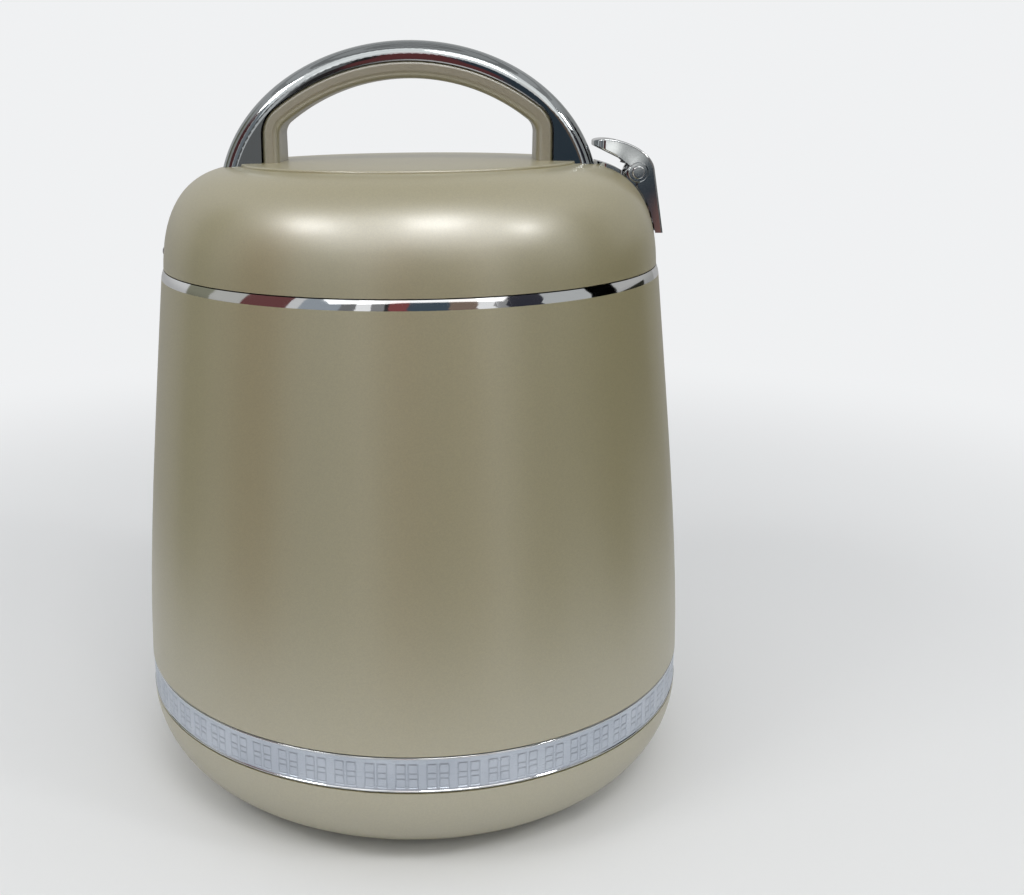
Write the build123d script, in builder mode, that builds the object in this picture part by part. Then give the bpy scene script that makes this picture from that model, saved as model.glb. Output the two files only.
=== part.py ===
from build123d import *
import math
import os

os.makedirs("parts", exist_ok=True)

# An insulated casserole with a hinged lid, a carrying arch and a thumb latch.
# Millimetres. The origin is the centre of the face it stands on, +Z up, +X towards the latch.

# ---------------------------------------------------------------- body sizes
foot_height = 1.4           # underside of the base above the table
corner_radius = 35.0        # round corner of the base cup, which is all of its height
band_height = 12.9
groove_height = 0.5         # dark reveal above and below the band
wall_height = 147.5         # flared wall, from the band to the trim ring
ring_height = 3.2           # trim ring under the lid
ring_flare = 1.0            # foot of the trim ring outside the lid
ring_width = 2.9            # trim ring's top face
body_flare = 14.8           # widest part of the body outside the lid
shell_wall = 1.8
cup_wall = 2.2
spigot_wall = 1.9
spigot_reach = 7.0          # how far the cup's spigot stands up inside the shell
flange_thickness = 3.0      # shell's inner screw flange
flange_overlap = 4.0        # flange inside the circle of its screws
flare_out = 0.61            # shape of the flared wall's curve
flare_down = 0.467
flare_foot = 0.25
nest_gap = 0.15             # between nested pieces of one body

# ---------------------------------------------------------------- pot and collar sizes
pot_radius = 78.0           # bore of the food pot
pot_wall = 0.8
pot_floor_height = 16.0
pot_corner_radius = 22.0
pot_flange_width = 4.6
pot_flange_drop = 1.8       # top of the pot's flange below the seam
collar_drop = 0.3           # top of the collar below the seam
collar_depth = 7.0
collar_bore_gap = 0.4
skirt_depth = 10.0
skirt_wall = 2.0

# ---------------------------------------------------------------- base fittings
foot_ring_inset = 9.3       # middle of the foot ring inside the base's flat
foot_ring_width = 6.0
foot_groove_depth = 1.2
base_screw_count = 4
base_screw_gap = 9.2        # screws' circle outside the pot
base_boss_radius = 5.0
base_well_radius = 3.4
base_well_ledge = 3.0
base_screw_radius = 1.5
base_screw_head_radius = 3.0
base_screw_head_height = 2.2
base_screw_bite = 9.0

# ---------------------------------------------------------------- lid sizes
lid_gap = 0.4               # seam between the trim ring and the lid
lid_height = 36.0           # from the seam to the end of the shoulder
lid_wall = 2.0
shoulder_share = 0.611      # shape of the shoulder's curve, as a share of the lid's height
shoulder_start_in = 1.0
shoulder_run = 20.3
plateau_inset = 30.3        # edge of the raised top inside the lid's radius
plateau_rise = 0.9
plateau_crown = 0.6
plateau_round = 0.6
frame_thickness = 2.0
frame_screw_count = 6
frame_screw_inset = 6.8     # screws' circle inside the lid's radius
frame_screw_radius = 1.4
frame_screw_head_radius = 2.4
frame_screw_head_height = 1.2
frame_screw_length = 9.0
frame_boss_radius = 3.6
plug_clearance = 1.8        # between the plug and the pot's bore
plug_depth = 9.5
plug_corner_radius = 8.0
liner_wall = 0.8
liner_flange_width = 3.3
gasket_width = 5.3
gasket_gap = 0.15

# ---------------------------------------------------------------- hinge sizes
hinge_axis_inset = 2.4      # hinge axis inside the lid's radius
hinge_axis_height = 5.0     # hinge axis above the seam
hinge_pin_radius = 1.2
hinge_knuckle_radius = 2.6
hinge_half_length = 10.0
hinge_leaf_half = 5.2
hinge_side_gap = 0.3
hinge_plate_thickness = 1.0
hinge_plate_width = 4.8
hinge_plate_half = 16.0
pocket_side_gap = 5.0
pocket_height = 9.8
pocket_depth = 10.6         # pocket's inner face inside the lid's radius
pocket_wall = 1.5
leaf_thickness = 1.4
leaf_reach = 6.5
hinge_screw_radius = 1.1
hinge_screw_head_radius = 1.9
hinge_screw_head_height = 0.8
hinge_screw_length = 5.0
hinge_screw_offset = 12.6   # body half's screws from the middle
leaf_screw_offset = 9.0     # lid half's screws from the middle
leaf_half_width = 12.5
leaf_web = 2.6
leaf_boss_radius = 2.6
running_gap = 0.05
press_gap = 0.02
lid_open_angle = 100.0

# ---------------------------------------------------------------- handle sizes
handle_foot_out = 7.8       # widest part of the arch's outline beyond the raised top
handle_height = 56.2        # crown above the middle of the outline's ellipse
handle_center_drop = 13.0   # middle of that ellipse below the shoulder's top
handle_sink = 2.0           # foot line below the shoulder's top
handle_leg_width = 23.3     # from the outside of the arch to the finger opening
opening_rise = 30.2         # crest of the finger opening above the shoulder's top
opening_crest_radius = 73.0
opening_corner_radius = 5.5
grip_thickness = 6.0
parting_gap = 0.35
handle_half_width = 10.5    # at the crown
handle_foot_half_width = 14.0
grip_inset = 0.9            # grip narrower than the chrome on each side
handle_edge_round = 6.0     # both outer edges of the chrome
grip_round = 2.4            # edges beside the fingers
grip_rim_round = 1.4        # edges beside the chrome
handle_screw_inset = 10.9   # screws inside the arch's outline
handle_screw_side = 5.0
handle_screw_radius = 1.9
handle_screw_head_radius = 3.6
handle_screw_head_height = 2.4
handle_screw_bite = 11.0
handle_boss_radius = 5.6
handle_boss_drop = 6.0      # underside of the bosses below the shoulder's top

# ---------------------------------------------------------------- latch sizes
latch_axis_inset = 8.1      # latch pin inside the lid's radius
latch_axis_drop = 3.7       # latch pin below the shoulder's top
latch_pin_radius = 1.4
latch_pin_head_radius = 2.3
latch_pin_head_height = 0.9
latch_pin_head_gap = 0.2
lever_half_width = 7.8
lever_cheek = 1.7
lever_skin = 1.7
lever_knuckle_radius = 3.6
lever_knuckle_rise = 0.6    # ring around the pin, proud of the cheek
lever_bend_out = 6.0        # where the tab's curve meets the leg, outside and above the pin
lever_bend_rise = 1.1
lever_crown_in = 8.6        # two points that pull the tab's curve up, from the pin
lever_crown_rise = 13.7
lever_brow_out = 4.7
lever_brow_rise = 8.4
lever_lid_gap = 0.6
tab_corner = 4.0
tab_thickness = 2.0
tab_root_in = 5.6           # where the tab opens into the two cheeks, inside the pin
tab_root_rise = 4.4         # underside of the tab there, above the pin
tab_reach = 16.1            # tip of the tab inside the pin
tab_tip_rise = 11.5
lever_end_out = 10.0        # lower end of the leg outside the pin
lever_end_drop = 0.5        # lower end of the leg below the nose
lever_edge_round = 0.7
ear_gap = 0.3
ear_thickness = 1.8
ear_radius = 3.1
bracket_thickness = 1.2
tongue_half_width = 9.0
tongue_inner_reach = 14.9   # ends of the tongue inside the pin
tongue_outer_reach = 4.0
tongue_corner = 3.0
bracket_foot_out = 2.4      # outer end of the bracket outside the pin
bracket_screw_radius = 1.2
bracket_screw_head_radius = 2.8
bracket_screw_head_height = 1.4
bracket_screw_in = 10.6     # bracket's screws inside the pin
bracket_screw_side = 5.5
bracket_screw_bite = 4.5
bracket_post_radius = 2.2   # posts under the tongue that pass through the lid
bracket_boss_radius = 4.0
bracket_boss_drop = 7.5     # underside of the bosses below the shoulder's top
ear_base_in = 6.2           # inner end of the ears inside the pin
ear_base_drop = 1.7         # top of the ears' base below the pin
ear_base_depth = 15.0
nose_half_width = 3.8
nose_height = 3.0
nose_rise = 10.9            # underside of the nose above the seam
nose_gap = 0.35             # between the nose and the keeper's post
window_margin = 0.8
window_gap_low = 0.9        # window around the nose, which swings up a little
window_gap_high = 1.7
latch_angle = 7.0
spring_wire_radius = 0.45
spring_coil_radius = 2.2
spring_turns = 4.5
spring_pitch = 1.05
spring_leg_up = 6.8         # leg under the tab
spring_leg_down = 1.0       # leg on the bracket
spring_lean = 15.0

# ---------------------------------------------------------------- catch sizes
keeper_gap = 0.8            # keeper's post outside the pot's flange
keeper_room = 8.9           # from the post's inner face to the lid's radius
keeper_post_thickness = 2.2
keeper_half_width = 4.5
keeper_lip_reach = 1.6
keeper_lip_gap = 0.3
keeper_lip_height = 2.3
keeper_lip_chamfer = 1.0
keeper_plate_thickness = 1.0
keeper_plate_width = 4.8
keeper_plate_half = 13.0
keeper_screw_offset = 9.2
keeper_screw_radius = 1.1
keeper_screw_head_radius = 1.9
keeper_screw_head_height = 0.8
keeper_screw_length = 5.0
chamber_side_gap = 1.3
chamber_post_gap = 1.0
chamber_top_gap = 1.0
chamber_wall = 1.5

# ---------------------------------------------------------------- places that follow from the sizes
pot_outer_radius = pot_radius + pot_wall
pot_flange_radius = pot_outer_radius + pot_flange_width - pot_wall
keeper_post_radius = pot_flange_radius + keeper_gap
lid_radius = keeper_post_radius + keeper_room
ring_top_radius = lid_radius
wall_top_radius = lid_radius + ring_flare
ring_inner_radius = lid_radius - ring_width
body_radius = lid_radius + body_flare
band_bottom = foot_height + corner_radius
band_top = band_bottom + band_height
wall_top = band_top + wall_height
seam = wall_top + ring_height
corner_center = body_radius - corner_radius
foot_ring_radius = corner_center - foot_ring_inset
base_screw_circle = pot_outer_radius + base_screw_gap
flange_inner_radius = base_screw_circle - flange_overlap
spigot_inset = shell_wall + nest_gap
spigot_top = band_top + groove_height + spigot_reach
flange_bottom = spigot_top + nest_gap
pot_flange_top = seam - pot_flange_drop
pot_flange_bottom = pot_flange_top - pot_wall
collar_top = seam - collar_drop
collar_bottom = wall_top - collar_depth + ring_height
collar_seat_radius = pot_flange_radius + nest_gap
lid_bottom = seam + lid_gap
lid_top = seam + lid_height
shoulder_z = seam + shoulder_share * lid_height
plateau_top = lid_top + plateau_rise
plateau_radius = lid_radius - plateau_inset
frame_screw_circle = lid_radius - frame_screw_inset
handle_half_span = plateau_radius + handle_foot_out
grip_half_span = handle_half_span - handle_leg_width
handle_screw_span = handle_half_span - handle_screw_inset
opening_crest = lid_top + opening_rise
arch_foot_line = lid_top - handle_sink
arch_center = lid_top - handle_center_drop
arch_crown = arch_center + handle_height
frame_top = lid_bottom + frame_thickness
plug_radius = pot_radius - plug_clearance
hinge_x = -(lid_radius - hinge_axis_inset)
hinge_z = seam + hinge_axis_height
pocket_half = hinge_half_length + pocket_side_gap
pocket_x = -(lid_radius - pocket_depth)
pocket_top = seam + pocket_height
latch_axis_radius = lid_radius - latch_axis_inset
latch_z = lid_top - latch_axis_drop
tab_root_radius = latch_axis_radius - tab_root_in
tab_root_z = latch_z + tab_root_rise
nose_bottom = seam + nose_rise
nose_top = nose_bottom + nose_height
keeper_lip_bottom = nose_top + keeper_lip_gap
keeper_top = keeper_lip_bottom + keeper_lip_height
keeper_outer = keeper_post_radius + keeper_post_thickness
chamber_half = keeper_half_width + chamber_side_gap
chamber_x = keeper_post_radius - chamber_post_gap
chamber_top = keeper_top + chamber_top_gap
nose_tip_radius = keeper_outer + nose_gap
lever_end_radius = latch_axis_radius + lever_end_out
lever_end_z = nose_bottom - lever_end_drop
ear_outer = lever_half_width - lever_cheek - ear_gap
ear_inner = ear_outer - ear_thickness


# ---------------------------------------------------------------- forms that several pieces share
def body_form(inset):
    """The closed outside of the body, moved inwards by inset."""
    span = wall_top - band_bottom
    radius = corner_radius - inset
    low = (corner_center, foot_height + inset)
    side = (corner_center + radius, band_bottom)
    diagonal = radius * math.sqrt(0.5)
    middle = (corner_center + diagonal, band_bottom - diagonal)
    top = (wall_top_radius - inset, wall_top)
    flare_point = wall_top_radius + flare_out * (body_radius - wall_top_radius) - inset
    with BuildPart() as form:
        with BuildSketch(Plane.XZ):
            with BuildLine():
                Line((0, foot_height + inset), low)
                ThreePointArc(low, middle, side)
                Bezier(
                    side,
                    (body_radius - inset, band_bottom + flare_foot * span),
                    (flare_point, wall_top - flare_down * span),
                    top,
                )
                Polyline(top, (0, wall_top), (0, foot_height + inset))
            make_face()
        revolve(axis=Axis.Z)
    return form.part


def lid_form(inset):
    """The closed outside of the lid without its raised top, moved inwards by inset."""
    quarter = 0.55 * inset
    start = (lid_radius - inset, lid_bottom)
    end = (plateau_radius, lid_top - inset)
    with BuildPart() as form:
        with BuildSketch(Plane.XZ):
            with BuildLine():
                Bezier(
                    start,
                    (lid_radius - shoulder_start_in - inset, shoulder_z - quarter),
                    (plateau_radius + shoulder_run - quarter, lid_top - inset),
                    end,
                )
                Polyline(end, (0, lid_top - inset), (0, lid_bottom), start)
            make_face()
        revolve(axis=Axis.Z)
    return form.part


def tube(outer, inner, low, high):
    """A plain ring about the casserole's axis."""
    with BuildPart() as ring:
        with BuildSketch(Plane.XY.offset(low)):
            Circle(outer)
            Circle(inner, mode=Mode.SUBTRACT)
        extrude(amount=high - low)
    return ring.part


def block(x_low, x_high, half, low, high):
    """A block between two planes on X, as wide on each side of Y = 0."""
    with BuildPart() as box:
        with BuildSketch(Plane.XY.offset(low)):
            with Locations(((x_low + x_high) / 2, 0)):
                Rectangle(x_high - x_low, 2 * half)
        extrude(amount=high - low)
    return box.part


def slab(low, high):
    """Everything between two heights, used to cut a ring out of a form."""
    reach = 2 * body_radius
    return block(-reach, reach, reach, low, high)


def screws_down(points, top, head_radius, head_height, shank_radius, length):
    """Screws whose flat heads are at height top, with the shanks below."""
    with BuildPart() as group:
        with BuildSketch(Plane.XY.offset(top)):
            with Locations(*points):
                Circle(head_radius)
        extrude(amount=-head_height)
        with BuildSketch(Plane.XY.offset(top - head_height)):
            with Locations(*points):
                Circle(shank_radius)
        extrude(amount=head_height - length)
        driver_depth = 0.6 * head_height
        with BuildSketch(Plane.XY.offset(top)):
            with Locations(*points):
                Rectangle(head_radius, head_radius / 4)
                Rectangle(head_radius / 4, head_radius)
        extrude(amount=-driver_depth, mode=Mode.SUBTRACT)
    return group.part


def screws_up(points, bottom, head_radius, head_height, shank_radius, length):
    """Screws whose heads are at height bottom, with the shanks above."""
    with BuildPart() as group:
        with BuildSketch(Plane.XY.offset(bottom)):
            with Locations(*points):
                Circle(head_radius)
        extrude(amount=head_height)
        with BuildSketch(Plane.XY.offset(bottom + head_height)):
            with Locations(*points):
                Circle(shank_radius)
        extrude(amount=length - head_height)
        driver_depth = 0.6 * head_height
        with BuildSketch(Plane.XY.offset(bottom)):
            with Locations(*points):
                Rectangle(head_radius, head_radius / 4)
                Rectangle(head_radius / 4, head_radius)
        extrude(amount=driver_depth, mode=Mode.SUBTRACT)
    return group.part


def columns(points, radius, low, high):
    """Round columns at points, for bosses, holes and wells."""
    with BuildPart() as group:
        with BuildSketch(Plane.XY.offset(low)):
            with Locations(*points):
                Circle(radius)
        extrude(amount=high - low)
    return group.part


def circle_points(count, radius, start_angle):
    """Points evenly spaced on a circle."""
    turns = [math.radians(start_angle + 360 * index / count) for index in range(count)]
    return [(radius * math.cos(turn), radius * math.sin(turn)) for turn in turns]


body_outside = body_form(0)
body_inside = body_form(shell_wall)
spigot_outside = body_form(spigot_inset)
spigot_inside = body_form(spigot_inset + spigot_wall)
lid_outside = lid_form(0)
lid_inside = lid_form(lid_wall)

# ---------------------------------------------------------------- outer shell
shell_slab = slab(band_top + groove_height, wall_top)
flange_slab = slab(flange_bottom, flange_bottom + flange_thickness)
base_screw_points = circle_points(base_screw_count, base_screw_circle, 45)
base_screw_pilots = columns(
    base_screw_points, base_screw_radius + press_gap, flange_bottom, flange_bottom + base_screw_bite
)
base_hubs = columns(
    base_screw_points, base_boss_radius, flange_bottom, flange_bottom + base_screw_bite + shell_wall
)
flange_hole = columns([(0, 0)], flange_inner_radius, 0, seam)
pot_room = columns([(0, 0)], pot_outer_radius + nest_gap, 0, seam)

with BuildPart() as outer_shell:
    add(body_outside)
    add(body_inside, mode=Mode.SUBTRACT)
    add(shell_slab, mode=Mode.INTERSECT)

with BuildPart() as shell_flange:
    add(body_form(shell_wall / 2))
    add(flange_slab, mode=Mode.INTERSECT)
    add(flange_hole, mode=Mode.SUBTRACT)
    add(base_hubs)
    add(pot_room, mode=Mode.SUBTRACT)
    add(base_screw_pilots, mode=Mode.SUBTRACT)

with outer_shell:
    add(shell_flange.part)
outer_shell.part.label = "outer_shell"
export_step(outer_shell.part, "parts/outer_shell.step")

# ---------------------------------------------------------------- base cup
cup_slab = slab(0, band_bottom - groove_height)
lap_slab = slab(band_bottom - groove_height - spigot_reach, spigot_top)
well_top = flange_bottom - nest_gap - base_well_ledge
base_bosses = columns(base_screw_points, base_boss_radius, foot_height, flange_bottom - nest_gap)
base_wells = columns(base_screw_points, base_well_radius, 0, well_top)
base_holes = columns(base_screw_points, base_screw_radius + nest_gap, 0, flange_bottom)
foot_groove = tube(
    foot_ring_radius + foot_ring_width / 2,
    foot_ring_radius - foot_ring_width / 2,
    0,
    foot_height + foot_groove_depth,
)

with BuildPart() as cup_bosses:
    add(base_bosses)
    add(body_outside, mode=Mode.INTERSECT)
    add(spigot_outside, mode=Mode.INTERSECT)

with BuildPart() as spigot_ring:
    add(spigot_outside)
    add(spigot_inside, mode=Mode.SUBTRACT)
    add(lap_slab, mode=Mode.INTERSECT)

with BuildPart() as base_cup:
    add(body_outside)
    add(body_form(cup_wall), mode=Mode.SUBTRACT)
    add(cup_slab, mode=Mode.INTERSECT)
    add(spigot_ring.part)
    add(cup_bosses.part)
    add(base_wells, mode=Mode.SUBTRACT)
    add(base_holes, mode=Mode.SUBTRACT)
    with BuildSketch(Plane.XY.offset(foot_height + cup_wall)):
        Circle(foot_ring_radius + foot_ring_width)
        Circle(foot_ring_radius - foot_ring_width, mode=Mode.SUBTRACT)
    extrude(amount=foot_groove_depth)
    add(foot_groove, mode=Mode.SUBTRACT)
base_cup.part.label = "base_cup"
export_step(base_cup.part, "parts/base_cup.step")

# ---------------------------------------------------------------- silver band
with BuildPart() as base_band:
    add(body_outside)
    add(body_inside, mode=Mode.SUBTRACT)
    add(slab(band_bottom, band_top), mode=Mode.INTERSECT)
base_band.part.label = "base_band"
export_step(base_band.part, "parts/base_band.step")

# ---------------------------------------------------------------- foot ring and base screws
with BuildPart() as foot_ring:
    add(foot_groove)
    chamfer(foot_ring.edges().group_by(Axis.Z)[0], length=foot_height / 4)
foot_ring.part.label = "foot_ring"
export_step(foot_ring.part, "parts/foot_ring.step")

with BuildPart() as base_screws:
    add(
        screws_up(
            base_screw_points,
            well_top - base_screw_head_height,
            base_screw_head_radius,
            base_screw_head_height,
            base_screw_radius,
            base_screw_head_height + base_well_ledge + base_screw_bite,
        )
    )
base_screws.part.label = "base_screws"
export_step(base_screws.part, "parts/base_screws.step")

# ---------------------------------------------------------------- inner pot
with BuildPart() as inner_pot:
    with BuildSketch(Plane.XZ):
        with BuildLine() as pot_line:
            Polyline(
                (0, pot_floor_height),
                (pot_outer_radius, pot_floor_height),
                (pot_outer_radius, pot_flange_bottom),
                (pot_flange_radius, pot_flange_bottom),
                (pot_flange_radius, pot_flange_top),
                (pot_radius, pot_flange_top),
                (pot_radius, pot_floor_height + pot_wall),
                (0, pot_floor_height + pot_wall),
                close=True,
            )
        make_face()
    revolve(axis=Axis.Z)
    pot_corners = inner_pot.edges().filter_by(GeomType.CIRCLE)
    outer_corner = pot_corners.filter_by_position(
        Axis.Z, pot_floor_height - 0.1, pot_floor_height + 0.1
    )
    inner_corner = pot_corners.filter_by_position(
        Axis.Z, pot_floor_height + pot_wall - 0.1, pot_floor_height + pot_wall + 0.1
    )
    fillet(outer_corner, radius=pot_corner_radius + pot_wall)
    fillet(inner_corner, radius=pot_corner_radius)
inner_pot.part.label = "inner_pot"
export_step(inner_pot.part, "parts/inner_pot.step")

# ---------------------------------------------------------------- rim collar
keeper_plate_x = keeper_post_radius + keeper_plate_width
keeper_plate_seat = block(
    keeper_post_radius - nest_gap,
    keeper_plate_x + nest_gap,
    keeper_plate_half + nest_gap,
    collar_top - keeper_plate_thickness,
    seam,
)
hinge_plate_x = -(keeper_post_radius + hinge_plate_width)
hinge_plate_seat = block(
    hinge_plate_x - nest_gap,
    -keeper_post_radius + nest_gap,
    hinge_plate_half + nest_gap,
    collar_top - hinge_plate_thickness,
    seam,
)
keeper_screw_x = keeper_post_radius + keeper_plate_width / 2
keeper_screw_points = [(keeper_screw_x, side * keeper_screw_offset) for side in (-1, 1)]
hinge_screw_x = -(keeper_post_radius + hinge_plate_width / 2)
hinge_screw_points = [(hinge_screw_x, side * hinge_screw_offset) for side in (-1, 1)]
collar_pilots = columns(keeper_screw_points, keeper_screw_radius + press_gap, collar_bottom, seam)
hinge_pilots = columns(hinge_screw_points, hinge_screw_radius + press_gap, collar_bottom, seam)

with BuildPart() as rim_collar:
    add(spigot_outside)
    add(body_form(spigot_inset + skirt_wall), mode=Mode.SUBTRACT)
    add(slab(collar_bottom - skirt_depth, wall_top - nest_gap), mode=Mode.INTERSECT)

with BuildPart() as collar_plate:
    add(spigot_outside)
    add(slab(collar_bottom, wall_top - nest_gap), mode=Mode.INTERSECT)
    add(tube(ring_inner_radius - nest_gap, collar_seat_radius, collar_bottom, collar_top))
    add(columns([(0, 0)], pot_outer_radius + collar_bore_gap, 0, seam), mode=Mode.SUBTRACT)
    add(columns([(0, 0)], collar_seat_radius, pot_flange_bottom, seam), mode=Mode.SUBTRACT)

with rim_collar:
    add(collar_plate.part)
    add(keeper_plate_seat, mode=Mode.SUBTRACT)
    add(hinge_plate_seat, mode=Mode.SUBTRACT)
    add(collar_pilots, mode=Mode.SUBTRACT)
    add(hinge_pilots, mode=Mode.SUBTRACT)
rim_collar.part.label = "rim_collar"
export_step(rim_collar.part, "parts/rim_collar.step")

# ---------------------------------------------------------------- chrome trim ring
with BuildPart() as chrome_trim_ring:
    with BuildSketch(Plane.XZ):
        with BuildLine():
            ring_mid = ((wall_top_radius + ring_top_radius) / 2 + 0.12, wall_top + ring_height / 2)
            ThreePointArc((wall_top_radius, wall_top), ring_mid, (ring_top_radius, seam))
            Polyline(
                (ring_top_radius, seam),
                (ring_inner_radius, seam),
                (ring_inner_radius, wall_top),
                (wall_top_radius, wall_top),
            )
        make_face()
    revolve(axis=Axis.Z)
chrome_trim_ring.part.label = "chrome_trim_ring"
export_step(chrome_trim_ring.part, "parts/chrome_trim_ring.step")

# ---------------------------------------------------------------- body insulation
foam_inset = spigot_inset + max(spigot_wall, skirt_wall) + nest_gap
foam_floor = foot_height + cup_wall + foot_groove_depth + nest_gap
foam_top = collar_bottom - nest_gap
hub_room = columns(
    base_screw_points,
    base_boss_radius + nest_gap,
    0,
    flange_bottom + base_screw_bite + shell_wall + nest_gap,
)

with BuildPart() as pot_outside:
    with BuildSketch(Plane.XZ):
        with BuildLine():
            Polyline(
                (0, pot_floor_height - nest_gap),
                (pot_outer_radius + nest_gap, pot_floor_height - nest_gap),
                (pot_outer_radius + nest_gap, seam),
                (0, seam),
                close=True,
            )
        make_face()
    revolve(axis=Axis.Z)
    pot_bottom_edge = pot_outside.edges().filter_by(GeomType.CIRCLE).sort_by(Axis.Z)[0]
    fillet(pot_bottom_edge, radius=pot_corner_radius + pot_wall)

with BuildPart() as body_foam:
    add(body_form(foam_inset))
    add(slab(foam_floor, foam_top), mode=Mode.INTERSECT)
    add(pot_outside.part, mode=Mode.SUBTRACT)
    add(hub_room, mode=Mode.SUBTRACT)
    add(
        tube(body_radius, flange_inner_radius - nest_gap, flange_bottom - nest_gap,
             flange_bottom + flange_thickness + nest_gap),
        mode=Mode.SUBTRACT,
    )
body_foam.part.label = "body_foam"
export_step(body_foam.part, "parts/body_foam.step")

# ---------------------------------------------------------------- raised top of the lid
with BuildPart() as plateau:
    with BuildSketch(Plane.XZ):
        with BuildLine():
            plateau_crest = (0, plateau_top + plateau_crown)
            plateau_rim = (plateau_radius, plateau_top)
            crown_radius = (plateau_radius**2 + plateau_crown**2) / (2 * plateau_crown)
            RadiusArc(plateau_crest, plateau_rim, crown_radius)
            Polyline(
                plateau_rim,
                (plateau_radius, lid_top - lid_wall / 2),
                (0, lid_top - lid_wall / 2),
                plateau_crest,
            )
        make_face()
    revolve(axis=Axis.Z)
    plateau_edge = plateau.edges().filter_by(GeomType.CIRCLE).filter_by_position(
        Axis.Z, plateau_top - 0.1, plateau_top + 0.1
    )
    fillet(plateau_edge, radius=plateau_round)

# ---------------------------------------------------------------- lid shell
pocket_room = block(-2 * lid_radius, pocket_x, pocket_half, lid_bottom - lid_gap, pocket_top)
pocket_box = block(
    -lid_radius, pocket_x + pocket_wall, pocket_half + pocket_wall, frame_top, pocket_top + pocket_wall
)
chamber_room = block(chamber_x, lid_radius, chamber_half, lid_bottom - lid_gap, chamber_top)
chamber_box = block(
    chamber_x - chamber_wall,
    lid_radius,
    chamber_half + chamber_wall,
    frame_top,
    chamber_top + chamber_wall,
)
window_room = block(
    chamber_x,
    lid_radius + lid_wall,
    nose_half_width + window_margin,
    nose_bottom - window_gap_low,
    nose_top + window_gap_high,
)
frame_screw_points = circle_points(frame_screw_count, frame_screw_circle, 180 / frame_screw_count)
handle_screw_points = [
    (end * handle_screw_span, side * handle_screw_side) for end in (-1, 1) for side in (-1, 1)
]
bracket_screw_x = latch_axis_radius - bracket_screw_in
bracket_screw_points = [(bracket_screw_x, side * bracket_screw_side) for side in (-1, 1)]
leaf_plate_inner = pocket_x - nest_gap
leaf_plate_outer = leaf_plate_inner - leaf_reach
leaf_screw_x = (leaf_plate_inner + leaf_plate_outer) / 2
leaf_screw_points = [(leaf_screw_x, side * leaf_screw_offset) for side in (-1, 1)]
frame_bosses = columns(frame_screw_points, frame_boss_radius, frame_top, lid_top)
handle_boss_bottom = lid_top - handle_boss_drop
handle_bosses = columns(handle_screw_points, handle_boss_radius, handle_boss_bottom, lid_top)
bracket_boss_bottom = lid_top - bracket_boss_drop
bracket_bosses = columns(bracket_screw_points, bracket_boss_radius, bracket_boss_bottom, lid_top)
leaf_boss_top = pocket_top + hinge_screw_length
leaf_bosses = columns(leaf_screw_points, leaf_boss_radius, pocket_top, leaf_boss_top)
frame_pilots = columns(
    frame_screw_points, frame_screw_radius + press_gap, frame_top, lid_bottom + frame_screw_length
)
handle_holes = columns(
    handle_screw_points, handle_screw_radius + nest_gap, handle_boss_bottom, plateau_top + plateau_rise
)
bracket_holes = columns(
    bracket_screw_points, bracket_post_radius + nest_gap, bracket_boss_bottom, lid_top
)
leaf_pilots = columns(leaf_screw_points, hinge_screw_radius + press_gap, pocket_top, leaf_boss_top)

with BuildPart() as lid_ribs:
    add(pocket_box)
    add(chamber_box)
    add(frame_bosses)
    add(handle_bosses)
    add(bracket_bosses)
    add(leaf_bosses)
    add(lid_form(lid_wall / 2), mode=Mode.INTERSECT)

with BuildPart() as chamber_hollow:
    add(chamber_room)
    add(lid_inside, mode=Mode.INTERSECT)

with BuildPart() as lid_shell:
    add(lid_outside)
    add(lid_inside, mode=Mode.SUBTRACT)
    add(plateau.part)
    add(lid_ribs.part)
    add(pocket_room, mode=Mode.SUBTRACT)
    add(chamber_hollow.part, mode=Mode.SUBTRACT)
    add(window_room, mode=Mode.SUBTRACT)
    add(frame_pilots, mode=Mode.SUBTRACT)
    add(handle_holes, mode=Mode.SUBTRACT)
    add(bracket_holes, mode=Mode.SUBTRACT)
    add(leaf_pilots, mode=Mode.SUBTRACT)
lid_shell.part.label = "lid_shell"
export_step(lid_shell.part, "parts/lid_shell.step")

# ---------------------------------------------------------------- lid frame and its screws
frame_outer = lid_radius - lid_wall - nest_gap
with BuildPart() as lid_frame:
    add(tube(frame_outer, plug_radius + nest_gap, lid_bottom, frame_top))
    add(pocket_room, mode=Mode.SUBTRACT)
    add(chamber_room, mode=Mode.SUBTRACT)
    add(
        columns(frame_screw_points, frame_screw_radius + nest_gap, lid_bottom, frame_top),
        mode=Mode.SUBTRACT,
    )
    add(
        columns(
            frame_screw_points,
            frame_screw_head_radius + nest_gap,
            lid_bottom,
            lid_bottom + frame_screw_head_height,
        ),
        mode=Mode.SUBTRACT,
    )
lid_frame.part.label = "lid_frame"
export_step(lid_frame.part, "parts/lid_frame.step")

with BuildPart() as lid_frame_screws:
    add(
        screws_up(
            frame_screw_points,
            lid_bottom,
            frame_screw_head_radius,
            frame_screw_head_height,
            frame_screw_radius,
            frame_screw_length,
        )
    )
lid_frame_screws.part.label = "lid_frame_screws"
export_step(lid_frame_screws.part, "parts/lid_frame_screws.step")

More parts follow.
